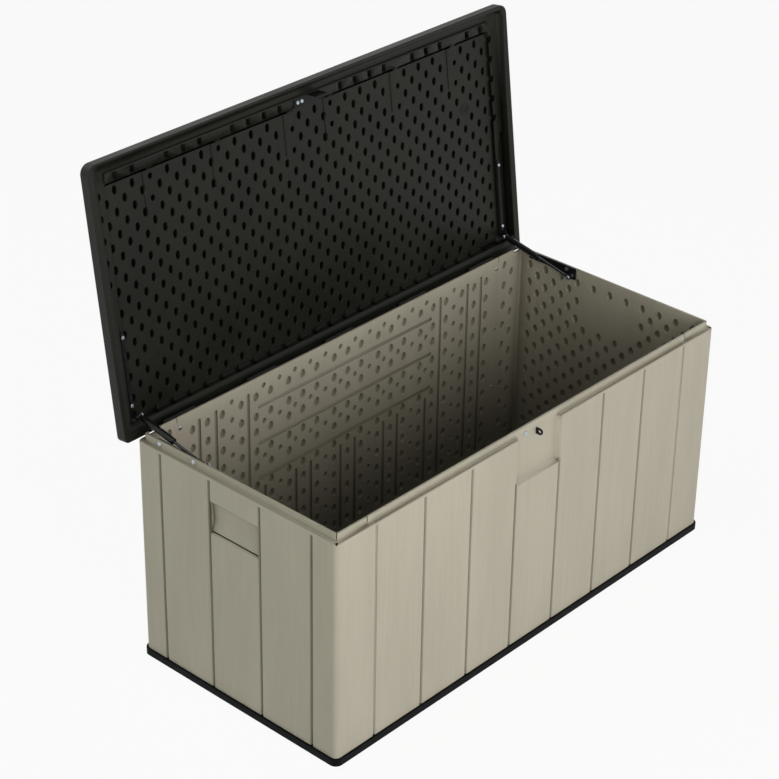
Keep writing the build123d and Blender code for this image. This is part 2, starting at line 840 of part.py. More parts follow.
def make_hasp():
    # plate under the lid's front edge with a holed tab folded down just inside the front wall
    front = ledge_front_y + hasp_front_in
    low = ledge_z - latch_thick
    plate = block(-hasp_left, hasp_right, front, front + hasp_deep, low, ledge_z)
    plate = fillet(plate.edges().filter_by(Axis.Z), 3.0)
    tab_low = lock_place() - hasp_tab_down
    tab = block(-hasp_tab_left, hasp_right, front, front + latch_thick, tab_low, ledge_z)
    tab = fillet(tab.edges().filter_by(Axis.Y).group_by(Axis.Z)[0], 6.0)
    hasp = plate + tab
    eye_x = (hasp_right - hasp_tab_left) / 2
    hasp -= rod_y(eye_x, front - 1, front + latch_thick + 1, lock_place(), loop_hole_radius)
    for x, y in hasp_screw_places():
        hasp -= rod_z(x, y, low - 1, ledge_z + 1, screw_radius + hole_gap)
    return hasp


def hasp_screw(x, y):
    low = ledge_z - latch_thick
    head = rod_z(x, y, low - screw_head_high, low, screw_head_radius)
    head = chamfer(head.edges().sort_by(Axis.Z)[0], 1.0)
    return head + rod_z(x, y, low, ledge_z + hasp_screw_long, screw_radius)


os.makedirs("parts", exist_ok=True)

save(make_base(), "base_panel")
front_wall, rear_wall, left_wall, right_wall = make_panels()
save(front_wall, "front_panel")
save(rear_wall, "rear_panel")
save(left_wall, "left_end_panel")
save(right_wall, "right_end_panel")
save(opened(make_lid()), "lid_panel")
save(Compound(children=[hinge_pin(x) for x in hinge_stations]), "hinge_pins")
save(Compound(children=[seam_screw(*place) for place in seam_screw_places()]), "seam_screws")
save(make_lock_loop(), "lock_loop")
save(make_lock_screw(), "lock_screw")
save(opened(make_hasp()), "lid_hasp")
hasp_screws = [opened(hasp_screw(x, y)) for x, y in hasp_screw_places()]
save(Compound(children=hasp_screws), "hasp_screws")

wall_bolts = []
wall_nuts = []
lid_bolts = []
lid_pivots = []
for name, side in sides.items():
    save(wall_bracket(side), name + "_wall_bracket")
    save(opened(lid_bracket(side)), name + "_lid_bracket")
    for y in (bolt_front_y, bolt_rear_y):
        wall_bolts.append(wall_bracket_bolt(side, y))
        wall_nuts.append(wall_bracket_nut(side, y))
    for y in (lid_bolt_front_y, lid_bolt_rear_y):
        lid_bolts.append(opened(lid_bracket_bolt(side, y)))
    lid_pivots.append(opened(lid_pivot_bolt(side)))
    save(on_strut(side, strut_tube()), name + "_strut_tube")
    save(on_strut(side, strut_eye(1, False)), name + "_lid_eye")
    save(on_strut(side, strut_rod()), name + "_strut_rod")
    save(on_strut(side, strut_piston()), name + "_strut_piston")
    far_eye = Pos(0, 0, strut_long) * strut_eye(-1, True)
    save(on_strut(side, far_eye), name + "_wall_eye")
    save(wall_pivot(side), name + "_wall_pivot")
save(Compound(children=wall_bolts), "wall_bracket_bolts")
save(Compound(children=wall_nuts), "wall_bracket_nuts")
save(Compound(children=lid_bolts), "lid_bracket_bolts")
save(Compound(children=lid_pivots), "lid_pivot_bolts")
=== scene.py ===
# %% [markdown]
# # A deck storage box
# A long resin box for cushions and garden tools stands open. Its walls are
# beige double-skinned panels with upright grooves, its lid is one dark
# moulding, and two gas struts hold the lid up.
# The measured solids come in first as a fixed frame. Everything after that
# adds what the mould and the finish give the real box.

# %% Load the measured solids
import json
import math

import bmesh
import bpy
from mathutils import Matrix, Vector

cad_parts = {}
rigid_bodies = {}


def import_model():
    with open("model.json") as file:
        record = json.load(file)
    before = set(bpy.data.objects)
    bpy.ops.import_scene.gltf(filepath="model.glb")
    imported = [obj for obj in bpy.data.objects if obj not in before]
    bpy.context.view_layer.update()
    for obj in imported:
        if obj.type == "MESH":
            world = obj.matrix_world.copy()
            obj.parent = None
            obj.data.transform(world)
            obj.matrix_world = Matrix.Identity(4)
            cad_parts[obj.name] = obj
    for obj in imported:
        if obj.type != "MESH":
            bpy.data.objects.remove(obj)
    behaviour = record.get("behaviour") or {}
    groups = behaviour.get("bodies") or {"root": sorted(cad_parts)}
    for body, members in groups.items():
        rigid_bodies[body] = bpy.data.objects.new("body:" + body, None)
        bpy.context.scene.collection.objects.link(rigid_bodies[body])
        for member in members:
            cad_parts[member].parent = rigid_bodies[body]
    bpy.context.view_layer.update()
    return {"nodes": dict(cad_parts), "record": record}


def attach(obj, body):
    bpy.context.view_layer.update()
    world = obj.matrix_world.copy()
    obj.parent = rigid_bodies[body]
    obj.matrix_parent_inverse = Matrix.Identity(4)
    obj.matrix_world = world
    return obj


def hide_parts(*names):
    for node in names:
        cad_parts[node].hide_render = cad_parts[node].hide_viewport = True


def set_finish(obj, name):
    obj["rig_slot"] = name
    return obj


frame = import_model()

# %% [markdown]
# ## The camera
# The box is seen from the front left corner and from above, through a long
# lens. A camera can be aimed with a constraint, but its three axes written
# as a matrix also hold the small tilt of the horizon, so that is used here.

# %% Camera
camera_place = Vector((-4.1344, -3.5662, 3.7766))
turn, rise, tilt = (math.radians(a) for a in (-47.8553, 29.9054, 0.9293))
away = Vector((math.sin(turn) * math.cos(rise), -math.cos(turn) * math.cos(rise), math.sin(rise)))
level = Vector((0, 0, 1)).cross(away).normalized()
upright = away.cross(level)
right = level * math.cos(tilt) + upright * math.sin(tilt)
up = upright * math.cos(tilt) - level * math.sin(tilt)

lens = bpy.data.cameras.new("camera")
lens.lens = 108.94
lens.sensor_width = 36
camera = bpy.data.objects.new("camera", lens)
bpy.context.scene.collection.objects.link(camera)
axes = Matrix((right, up, away)).transposed().to_4x4()
camera.matrix_world = Matrix.Translation(camera_place) @ axes
bpy.context.scene.camera = camera
print("camera", round(camera_place.length, 2), "m from the middle of the base")

# %% [markdown]
# ## Dimples
# Twin-wall resin panels are stiffened by pressing hundreds of small oval
# dimples into the inner skin until it meets the outer one. A bump map would
# only paint them, and they have to catch light and go dark inside. So each
# one is a real plug with a flared mouth and a rounded end, all plugs of one
# panel are one mesh, and a single Boolean takes them out of the panel.
# The mouth's cone runs straight through the panel's face, with no ring of
# points in the face itself, which would leave slivers and streaky shading.

# %% Small helpers
mm = 0.001
along_x, along_y, along_z = Vector((1, 0, 0)), Vector((0, 1, 0)), Vector((0, 0, 1))


def to_piece(name, shape):
    """Turns a finished bmesh into an object in the scene."""
    mesh = bpy.data.meshes.new(name)
    shape.to_mesh(mesh)
    shape.free()
    piece = bpy.data.objects.new(name, mesh)
    bpy.context.scene.collection.objects.link(piece)
    return piece


def bridge(shape, one, two):
    """Joins two rings of as many points with a band of faces."""
    for step in range(len(one)):
        nxt = (step + 1) % len(one)
        shape.faces.new((one[step], one[nxt], two[nxt], two[step]))


# %% One plug
plug_sides = 20
wall_flare = 1.6 * mm
bar_above = 1.0 * mm


def add_plug(plugs, centre, across, along, inward, size, flare=wall_flare):
    """An oval plug, wide by tall below its flared mouth, reaching depth into the panel."""
    wide, tall, depth = (s * mm for s in size)
    mouth = ((1.0, 2 * flare, -flare), (1.0, 0.0, flare))
    end = ((0.93, 0.0, depth * 0.5), (0.8, 0.0, depth * 0.85), (0.45, 0.0, depth))
    rings = []
    for share, extra, down in mouth + end:
        half_wide = wide / 2 * share + extra
        half_tall = tall / 2 * share + extra
        ring = []
        for step in range(plug_sides):
            a = 2 * math.pi * step / plug_sides
            spot = across * (half_wide * math.cos(a)) + along * (half_tall * math.sin(a))
            ring.append(plugs.verts.new(centre + spot + inward * down))
        rings.append(ring)
    for outer, inner in zip(rings, rings[1:]):
        bridge(plugs, outer, inner)
    plugs.faces.new(rings[0][::-1])
    plugs.faces.new(rings[-1])


def add_bar(plugs, centre, across, along, inward, size):
    """A straight bar, wide by tall, reaching depth into the panel, for the hand hold's edge slots."""
    wide, tall, depth = (s * mm for s in size)
    corners = []
    for down in (-bar_above, depth):
        for u, v in ((-1, -1), (1, -1), (1, 1), (-1, 1)):
            spot = across * (u * wide / 2) + along * (v * tall / 2)
            corners.append(plugs.verts.new(centre + spot + inward * down))
    for side in ((0, 1, 2, 3), (4, 5, 6, 7), (0, 1, 5, 4), (1, 2, 6, 5), (2, 3, 7, 6), (3, 0, 4, 7)):
        plugs.faces.new([corners[k] for k in side])


# %% Taking the plugs out of a panel
weld_distance = 1e-6
sharp_angle = math.radians(32)


def dimpled(node, plugs, body, slot):
    """A copy of a panel's solid with all its plugs cut away, standing in for the plain solid."""
    bmesh.ops.recalc_face_normals(plugs, faces=plugs.faces)
    plug_piece = to_piece(node + "_plugs", plugs)

    skin = bmesh.new()
    skin.from_mesh(frame["nodes"][node].data)
    bmesh.ops.remove_doubles(skin, verts=skin.verts, dist=weld_distance)
    bmesh.ops.recalc_face_normals(skin, faces=skin.faces)
    open_edges = sum(not edge.is_manifold for edge in skin.edges)
    panel = to_piece(node + "_dimpled", skin)
    plain_faces = len(panel.data.polygons)

    cut = panel.modifiers.new("dimples", "BOOLEAN")
    cut.operation = "DIFFERENCE"
    cut.solver = "MANIFOLD"
    cut.object = plug_piece
    graph = bpy.context.evaluated_depsgraph_get()
    panel.data = bpy.data.meshes.new_from_object(panel.evaluated_get(graph))
    panel.modifiers.clear()
    bpy.data.objects.remove(plug_piece)
    panel.data.shade_smooth()
    panel.data.set_sharp_from_angle(angle=sharp_angle)
    even = panel.modifiers.new("flat_faces_stay_flat", "WEIGHTED_NORMAL")
    even.keep_sharp = True
    even.weight = 100
    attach(panel, body)
    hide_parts(node)
    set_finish(panel, slot)
    print(node, "faces", plain_faces, "->", len(panel.data.polygons), "open edges", open_edges)
    return panel


# %% [markdown]
# ## The lid's underside
# Its dimples stand in a diamond lattice over the whole field. The lid is
# drawn shut, where the lattice is easy to write down, and each plug is then
# swung open about the hinge line with the same turn as the lid itself.

# %% The open lid
hinge_line = Vector((0, 369.3, 663.5)) * mm
lid_turn = Matrix.Rotation(math.radians(-97.26), 4, "X")
lid_open = Matrix.Translation(hinge_line) @ lid_turn @ Matrix.Translation(-hinge_line)
lid_along = lid_turn @ along_y
lid_inward = lid_turn @ along_z

field_level = 694.6
seat_level = 686.6
column_step, row_step = 29.47, 29.3
lattice_x, lattice_y = 23.4, 77.8


def lattice_spot(column, row):
    return column_step * column + lattice_x, lattice_y - row_step * row


def lid_point(x, y, z):
    return lid_open @ (Vector((x, y, z)) * mm)


def add_lid_plug(x, y, z, size, *flare):
    add_plug(lid_plugs, lid_point(x, y, z), along_x, lid_along, lid_inward, size, *flare)


# %% [markdown]
# Raised pads run along the front of the field. A dimple that falls on a pad
# is shorter and starts on the pad's face, and one that would fall on a pad's
# edge is left out.

# %% Lid dimples
field_dimple = (13.5, 22.5, 12.5)
pad_dimple = (13.0, 15.5, 12.5)
lid_flare = 1.5 * mm
pad_middles = (-571.5, -336.5, -75.5, 75.5, 336.5, 571.5)
pad_reach, pad_bare, pad_end, pad_proud = 19, 13, -170, 1.5
stamp_spots = ((-22, -4), (20, 6))

lid_plugs = bmesh.new()
lid_count = 0
for column in range(-25, 24):
    for row in range(-8, 13):
        if (column + row) % 2 or (column, row) in stamp_spots:
            continue
        x, y = lattice_spot(column, row)
        reach = min(abs(x - middle) for middle in pad_middles)
        on_pad = reach < pad_reach and y < pad_end
        if on_pad and reach > pad_bare:
            continue
        if on_pad:
            add_lid_plug(x, y, field_level - pad_proud, pad_dimple, lid_flare)
        else:
            add_lid_plug(x, y, field_level, field_dimple, lid_flare)
        lid_count += 1
print("lid dimples", lid_count)

# %% [markdown]
# The lattice runs on under the seat that rests on the walls' lip. On the
# right it bites half-round notches out of the seat's edge, and on the left
# it leaves a row of dots.

# %% Dimples along the lid's seat
right_column, right_notch = 24, (15, 19, 15)
left_column, left_dot = -26, (13, 19, 9)
for row in range(4, 13, 2):
    add_lid_plug(*lattice_spot(right_column, row), seat_level, right_notch)
    add_lid_plug(*lattice_spot(left_column, row), seat_level, left_dot)
dimpled("lid_panel", lid_plugs, "lid", "lid_plastic")

# %% [markdown]
# Two round stamps from the mould interrupt the lattice. Each is three low
# rings, one inside the other. A ring could be a torus, but a small profile
# spun round the stamp's axis can be flat-footed, so that it sits on the field.

# %% Mould stamps
stamp_radii = (16.5, 9.0, 2.0)
stamp_profile = ((-1.3, -0.6), (-0.9, 0.7), (0.0, 1.2), (0.9, 0.7), (1.3, -0.6))
stamp_sides = 48
stamp_mesh = bmesh.new()
for column, row in stamp_spots:
    x, y = lattice_spot(column, row)
    for radius in stamp_radii:
        rings = []
        for out, height in stamp_profile:
            ring = []
            for step in range(stamp_sides):
                a = 2 * math.pi * step / stamp_sides
                reach = radius + out
                place = lid_point(x + reach * math.cos(a), y + reach * math.sin(a), field_level - height)
                ring.append(stamp_mesh.verts.new(place))
            rings.append(ring)
        for one, two in zip(rings, rings[1:] + rings[:1]):
            bridge(stamp_mesh, one, two)
bmesh.ops.recalc_face_normals(stamp_mesh, faces=stamp_mesh.faces)
stamps = to_piece("lid_stamps", stamp_mesh)
stamps.data.shade_smooth()
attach(stamps, "lid")
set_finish(stamps, "lid_plastic")
print("stamps", len(stamp_spots), "faces", len(stamps.data.polygons))

# %% [markdown]
# Along the foot of the lid, stepped tabs stand between the flutes of the
# tray's rear wall, one under each dimple of the last row. Their upper edges
# draw a bright zigzag. Each tab is one stepped outline, drawn out sideways
# and a little narrower towards the field.

# %% Tabs at the lid's foot
tab_rear = 341.0
tab_outline = ((326.5, 0.5), (326.5, -3.0), (333.5, -3.0), (333.5, -6.0), (tab_rear, -6.0), (tab_rear, 0.5))
tab_half = 22.0
tab_taper = 0.25
tab_edge = 0.8 * mm
tab_columns = range(-22, 22, 2)
tab_mesh = bmesh.new()
for column in tab_columns:
    middle = lattice_spot(column, 0)[0]
    ends = []
    for side in (-1, 1):
        end = []
        for y, height in tab_outline:
            x = middle + side * (tab_half - tab_taper * (tab_rear - y))
            end.append(tab_mesh.verts.new(lid_point(x, y, field_level + height)))
        ends.append(end)
        tab_mesh.faces.new(end)
    bridge(tab_mesh, *ends)
bmesh.ops.recalc_face_normals(tab_mesh, faces=tab_mesh.faces)
bmesh.ops.bevel(tab_mesh, geom=tab_mesh.edges[:], offset=tab_edge, segments=2, affect="EDGES", profile=0.5)
tabs = to_piece("lid_foot_tabs", tab_mesh)
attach(tabs, "lid")
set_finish(tabs, "lid_plastic")
print("foot tabs", len(tab_columns), "faces", len(tabs.data.polygons))

# %% [markdown]
# ## The rear and front walls
# Seen from inside, the long walls carry two sizes of dimple in upright
# columns. Above, level creases part them into bands. Below and outside, the
# columns run straight down between upright creases. The front wall is made
# like the rear one, apart from the thin place behind the lock.

# %% Where the long walls' dimples are
large_dimple = (18.0, 25.0, 9.0)
small_dimple = (13.5, 14.5, 6.5)
band_heights = (630, 568, 520, 460, 410, 352)
band_small_heights = (655, 545, 436)
low_heights = (306, 250, 195, 140, 85)
low_small_heights = (326, 270, 216, 160, 105)
outer_heights = (628, 571, 517, 463, 407, 353, 305, 250, 193, 138, 85)
between_heights = (652, 597, 543, 488, 435, 379, 325, 269, 215, 160, 108)
outer_columns = (409.5, 478.5, 532.5, 586)
between_column = 444
bay = 177.25
trio = (-54, 0, 54)
middle_end = 358


def long_wall_layout():
    spots = []
    columns = [k * bay + d for k in (-2, -1, 0, 1, 2) for d in trio]
    for x in columns:
        if abs(x) < middle_end:
            spots += [(x, z, large_dimple) for z in band_heights + low_heights]
    for k in range(-6, 6):
        spots += [((k + 0.5) * bay / 3, z, small_dimple) for z in band_small_heights]
    for k in (-2, -1, 0, 1):
        spots += [((k + 0.5) * bay, z, small_dimple) for z in low_small_heights]
    for side in (-1, 1):
        for x in outer_columns:
            spots += [(side * x, z, large_dimple) for z in outer_heights]
        spots += [(side * between_column, z, small_dimple) for z in between_heights]
    return spots


# %% Long wall dimples
inner_y = 332
lock_half, lock_low = 105, 505
long_walls = {}
for node, sign in (("rear_panel", 1), ("front_panel", -1)):
    plugs = bmesh.new()
    for x, z, size in long_wall_layout():
        if node == "front_panel" and abs(x) < lock_half and z > lock_low:
            continue
        centre = Vector((x, sign * inner_y, z)) * mm
        add_plug(plugs, centre, along_x, along_z, along_y * sign, size)
    long_walls[node] = dimpled(node, plugs, "box", "wall_plastic")

# %% [markdown]
# ## The end walls
# Each end panel wraps both corners. Its inner face has a diamond lattice
# like the lid's, with a bare field where the hand hold is pressed in from
# outside, and the two short returns carry a zigzag of dimples. The lip is
# split at the front corner, over a small drain hole, and again at each seam.
# Two fine slots mark the upper and lower edge of the hand hold.

# %% Sizes of the end walls' hollows
inner_x, outer_x = 740, 760
lip_top, shoulder = 686, 666
end_dimple = (16.5, 23.5, 9)
end_top, end_row_step, end_column_step, end_half = 643, 29.4, 29.5, 300
bare_half, bare_low, bare_high = 105, 515, 625
return_dimple = (17, 23, 8.5)
return_columns = ((667, 652), (700, 620))
return_step = 66.5
hold_slots = ((591, (167, 4, 14.5)), (507.5, (167, 4, 10)))
slit_x, slit_y, corner_slit = 743, 335, (2.2, 22, 18)
drain_x, drain_y, drain_hole = 752, 344, (8, 10, 12)
seam_x, seam_y, seam_slit = 639, 335, (2.6, 16, 15)
slit_flare, drain_flare = 0.4 * mm, 0.5 * mm

# %% End wall dimples, slots and slits
for node, sign in (("left_end_panel", -1), ("right_end_panel", 1)):
    plugs = bmesh.new()
    for row in range(20):
        z = end_top - end_row_step * row
        for column in range(-11, 12):
            y = end_column_step * column
            bare = abs(y) < bare_half and bare_low < z < bare_high
            if (column + row) % 2 or abs(y) > end_half or bare:
                continue
            centre = Vector((sign * inner_x, y, z)) * mm
            add_plug(plugs, centre, along_y, along_z, along_x * sign, end_dimple)
    for face in (-1, 1):
        for x, top in return_columns:
            for step in range(9):
                centre = Vector((sign * x, face * inner_y, top - return_step * step)) * mm
                add_plug(plugs, centre, along_x, along_z, along_y * face, return_dimple)
    for edge, size in hold_slots:
        line = Vector((sign * outer_x, 0, edge)) * mm
        add_bar(plugs, line, along_y, along_z, along_x * -sign, size)
    diagonal = Vector((sign, -1, 0)).normalized()
    crosswise = Vector((1, sign, 0)).normalized()
    slit = Vector((sign * slit_x, -slit_y, lip_top)) * mm
    add_plug(plugs, slit, crosswise, diagonal, -along_z, corner_slit, slit_flare)
    drain = Vector((sign * drain_x, -drain_y, shoulder)) * mm
    add_plug(plugs, drain, crosswise, diagonal, -along_z, drain_hole, drain_flare)
    for face in (-1, 1):
        seam = Vector((sign * seam_x, face * seam_y, lip_top)) * mm
        add_plug(plugs, seam, along_x, along_y, -along_z, seam_slit, slit_flare)
    dimpled(node, plugs, "box", "wall_plastic")

# %% [markdown]
# ## Finishes
# Every finish is a small network of nodes on the object's own coordinates,
# so it stays put when the lid swings. Colours are written as a paint chip
# would give them, 0 to 255, and turned into the linear numbers that Blender
# mixes with.

# %% Colours and noise
def chip(red, green, blue):
    """A paint chip's colour in linear numbers."""
    linear = [c / 255 / 12.92 if c <= 10 else ((c / 255 + 0.055) / 1.055) ** 2.4 for c in (red, green, blue)]
    return (*linear, 1.0)


def new_finish(name, roughness, sheen=0.5, metallic=0.0):
    finish = bpy.data.materials.new(name)
    finish.use_nodes = True
    shader = finish.node_tree.nodes["Principled BSDF"]
    shader.inputs["Roughness"].default_value = roughness
    shader.inputs["Specular IOR Level"].default_value = sheen
    shader.inputs["Metallic"].default_value = metallic
    return finish


def add_noise(finish, scale, detail=3.0, stretch=(1, 1, 1)):
    """Noise on the piece's own coordinates. A small stretch draws the pattern out along that axis."""
    nodes, links = finish.node_tree.nodes, finish.node_tree.links
    place = nodes.new("ShaderNodeTexCoord")
    mapping = nodes.new("ShaderNodeMapping")
    mapping.inputs["Scale"].default_value = stretch
    links.new(place.outputs["Object"], mapping.inputs["Vector"])
    noise = nodes.new("ShaderNodeTexNoise")
    noise.inputs["Scale"].default_value = scale
    noise.inputs["Detail"].default_value = detail
    links.new(mapping.outputs["Vector"], noise.inputs["Vector"])
    return noise.outputs["Fac"]


# %% Helpers that shape an amount
def add_ramp(finish, amount, low, high, start=0.35, end=0.65):
    """Turns an amount into a colour between two chips."""
    ramp = finish.node_tree.nodes.new("ShaderNodeValToRGB")
    ramp.color_ramp.elements[0].position = start
    ramp.color_ramp.elements[1].position = end
    ramp.color_ramp.elements[0].color = low
    ramp.color_ramp.elements[1].color = high
    finish.node_tree.links.new(amount, ramp.inputs["Fac"])
    return ramp.outputs["Color"]


def add_range(finish, amount, low, high):
    """Spreads a noise over a span of roughness."""
    span = finish.node_tree.nodes.new("ShaderNodeMapRange")
    span.inputs["From Min"].default_value = 0.3
    span.inputs["From Max"].default_value = 0.7
    span.inputs["To Min"].default_value = low
    span.inputs["To Max"].default_value = high
    finish.node_tree.links.new(amount, span.inputs["Value"])
    return span.outputs["Result"]


def multiply(finish, first, second):
    mix = finish.node_tree.nodes.new("ShaderNodeMix")
    mix.data_type = "RGBA"
    mix.blend_type = "MULTIPLY"
    mix.inputs["Factor"].default_value = 1.0
    finish.node_tree.links.new(first, mix.inputs["A"])
    finish.node_tree.links.new(second, mix.inputs["B"])
    return mix.outputs["Result"]


def scale_by(finish, amount, share):
    """An amount made smaller by a fixed share."""
    part = finish.node_tree.nodes.new("ShaderNodeMath")
    part.operation = "MULTIPLY"
    part.inputs[1].default_value = share
    finish.node_tree.links.new(amount, part.inputs[0])
    return part.outputs["Value"]


# %% Relief, hollows and connections
def add_bump(finish, height, distance, strength, below=None):
    bump = finish.node_tree.nodes.new("ShaderNodeBump")
    bump.inputs["Distance"].default_value = distance
    bump.inputs["Strength"].default_value = strength
    finish.node_tree.links.new(height, bump.inputs["Height"])
    if below is not None:
        finish.node_tree.links.new(below, bump.inputs["Normal"])
    return bump.outputs["Normal"]


def add_painted_shade(finish, reach, shade, start, end):
    """Painted shade in dimples, grooves and creases narrower than the reach, a colour that is white on open
    faces.
    """
    hollow_shade = finish.node_tree.nodes.new("ShaderNodeAmbientOcclusion")
    hollow_shade.samples = 6
    hollow_shade.only_local = True
    hollow_shade.inputs["Distance"].default_value = reach
    return add_ramp(finish, hollow_shade.outputs["AO"], shade, chip(255, 255, 255), start, end)


def connect(finish, source, socket):
    shader = finish.node_tree.nodes["Principled BSDF"]
    finish.node_tree.links.new(source, shader.inputs[socket])


# %% [markdown]
# ### Wall resin
# The walls are moulded to look like upright boards. Fine grain runs up and
# down, a little darker in its furrows. Noise that is stretched along the
# height gives both the tint and the relief, at two widths each, so that no
# two boards look alike. Two ambient occlusion nodes paint shade into the
# colour of the hollows: a short one in the dimples and grooves, a longer one
# in the corners and recesses.

# %% Wall finish
wall = new_finish("wall_resin", 0.55, 0.35)
broad = add_noise(wall, 9.0, 4.0, (1, 1, 0.25))
grain = add_noise(wall, 260.0, 5.0, (1, 1, 0.022))
fibre = add_noise(wall, 900.0, 2.0, (1, 1, 0.03))
tint = add_ramp(wall, broad, chip(181, 174, 161), chip(187, 180, 167))
streaks = add_ramp(wall, grain, chip(251, 251, 250), chip(255, 255, 255), 0.36, 0.6)
# painted shade: the colour darkens in dimples, grooves and creases
hollow_shade = add_painted_shade(wall, 12 * mm, chip(116, 110, 92), 0.25, 0.8)
# painted shade: the colour darkens a little in corners and recesses
recess_shade = add_painted_shade(wall, 45 * mm, chip(190, 188, 180), 0.5, 0.97)
shade = multiply(wall, hollow_shade, recess_shade)
connect(wall, multiply(wall, multiply(wall, tint, streaks), shade), "Base Color")
connect(wall, add_range(wall, grain, 0.62, 0.46), "Roughness")
relief = add_bump(wall, grain, 0.3 * mm, 0.06)
connect(wall, add_bump(wall, fibre, 0.1 * mm, 0.08, relief), "Normal")

# %% [markdown]
# ### Lid resin
# The lid is a dark grey-brown with a fine pebbled mould texture. Pebbles are
# a small noise in the relief. A slow noise lifts the colour a little where
# dust has settled and changes how the sheen breaks. Inside the dimples an
# ambient occlusion node paints shade into the colour and dims the sheen.

# %% Lid finish
lid_finish = new_finish("lid_resin", 0.45)
cloud = add_noise(lid_finish, 6.0, 5.0)
pebble = add_noise(lid_finish, 700.0, 3.0)
tint = add_ramp(lid_finish, cloud, chip(22, 23, 17), chip(28, 29, 22))
specks = add_ramp(lid_finish, pebble, chip(228, 228, 228), chip(255, 255, 255), 0.38, 0.6)
# painted shade: the colour darkens in the lid's dimples
hollow_shade = add_painted_shade(lid_finish, 12 * mm, chip(12, 12, 9), 0.3, 0.92)
connect(lid_finish, multiply(lid_finish, multiply(lid_finish, tint, specks), hollow_shade), "Base Color")
# the painted shade also dims the sheen in the dimples
connect(lid_finish, scale_by(lid_finish, hollow_shade, 0.2), "Specular IOR Level")
connect(lid_finish, add_range(lid_finish, cloud, 0.38, 0.5), "Roughness")
connect(lid_finish, add_bump(lid_finish, pebble, 0.25 * mm, 0.5), "Normal")

# %% [markdown]
# ### Base resin
# The base is the same kind of moulding in black, scuffed a little from
# standing on the deck.

# %% Base finish
base_finish = new_finish("base_resin", 0.5, 0.06)
scuff = add_noise(base_finish, 40.0, 6.0, (1, 1, 3))
pebble = add_noise(base_finish, 800.0, 2.0)
connect(base_finish, add_ramp(base_finish, scuff, chip(8, 9, 12), chip(16, 17, 20), 0.45, 0.75), "Base Color")
connect(base_finish, add_range(base_finish, scuff, 0.42, 0.62), "Roughness")
connect(base_finish, add_bump(base_finish, pebble, 0.2 * mm, 0.4), "Normal")

# %% [markdown]
# ### Steel finishes
# Brackets, hasp, lock loop and hinge pins are powder-coated black, which has
# a faint orange-peel relief. The strut tubes are painted smooth. Rods are
# nitrided dark and drawn lengthways, and the screws and bolts are
# zinc-plated with a bluish, cloudy sheen.

# %% Black steel and strut paint
coat = new_finish("powder_coat", 0.4, 0.2)
peel = add_noise(coat, 420.0, 2.0)
dust = add_noise(coat, 60.0, 4.0)
connect(coat, add_ramp(coat, dust, chip(12, 12, 14), chip(19, 20, 22)), "Base Color")
connect(coat, add_range(coat, dust, 0.34, 0.5), "Roughness")
connect(coat, add_bump(coat, peel, 0.15 * mm, 0.4), "Normal")

paint = new_finish("strut_paint", 0.25, 0.3)
smear = add_noise(paint, 90.0, 4.0)
connect(paint, add_ramp(paint, smear, chip(9, 10, 12), chip(15, 16, 18)), "Base Color")
connect(paint, add_range(paint, smear, 0.18, 0.34), "Roughness")
connect(paint, add_bump(paint, add_noise(paint, 600.0, 2.0), 0.05 * mm, 0.2), "Normal")

# %% Dark rods and zinc
rod = new_finish("drawn_rod", 0.2, metallic=1.0)
lines = add_noise(rod, 1500.0, 3.0, (1, 0.05, 0.05))
connect(rod, add_ramp(rod, lines, chip(58, 60, 64), chip(78, 80, 84)), "Base Color")
connect(rod, add_range(rod, lines, 0.14, 0.26), "Roughness")

zinc = new_finish("zinc_plate", 0.3, metallic=1.0)
bloom = add_noise(zinc, 350.0, 4.0)
connect(zinc, add_ramp(zinc, bloom, chip(150, 160, 172), chip(200, 207, 214)), "Base Color")
connect(zinc, add_range(zinc, bloom, 0.22, 0.42), "Roughness")
connect(zinc, add_bump(zinc, bloom, 0.05 * mm, 0.3), "Normal")

# %% [markdown]
# The record says which finish each solid belongs to. One table turns the
# record's names into the finishes above, and both the plain solids and the
# new pieces take theirs from it. The hinge knuckles behind the rear wall take
# the lid's dark finish on their faces. This dark is partly the lid, whose own
# knuckles hide them on the box, and partly painted shade around those.

# %% Dress every piece
finish_for = {
    "wall_plastic": wall,
    "lid_plastic": lid_finish,
    "base_plastic": base_finish,
    "black_steel": coat,
    "strut_black": paint,
    "rod_steel": rod,
    "zinc_steel": zinc,
}


def dress(piece, finish):
    if not piece.material_slots:
        piece.data.materials.append(finish)
    for place in piece.material_slots:
        place.material = finish


dressed = 0
for row in frame["record"]["subparts"]:
    dress(frame["nodes"][row["node"]], finish_for[row["material_slot"]])
    dressed += 1
for piece in bpy.data.objects:
    if "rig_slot" in piece:
        dress(piece, finish_for[piece["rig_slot"]])
        dressed += 1
print("dressed", dressed)

# %% Dark hinge knuckles
wall_back = 353.5 * mm
rear = long_walls["rear_panel"]
rear.data.materials.append(lid_finish)
# the dark here stands for the lid's own knuckles and painted shade around them
knuckle_faces = [face for face in rear.data.polygons if face.center.y > wall_back]
for face in knuckle_faces:
    face.material_index = 1
print("hinge knuckle faces", len(knuckle_faces))

# %% [markdown]
# ## Floor and light
# The floor is a plain pale disc that keeps the box's shadow. Most of what
# the camera sees of it is its own white, so it fades into the background.
# The light is an even studio: a soft sky that is brightest at the horizon and
# dim overhead, like a room with pale walls, and two large lamps in front. The
# low one lights the front wall. The higher one looks over it, lights the rear
# wall inside and leaves the bottom in shade. A third lamp, high up behind the
# lid, draws the bright line along the walls' lip.
# Floor and sky look white to the camera and in reflections, whatever light
# they give, so both ask the light path how they are being looked at.

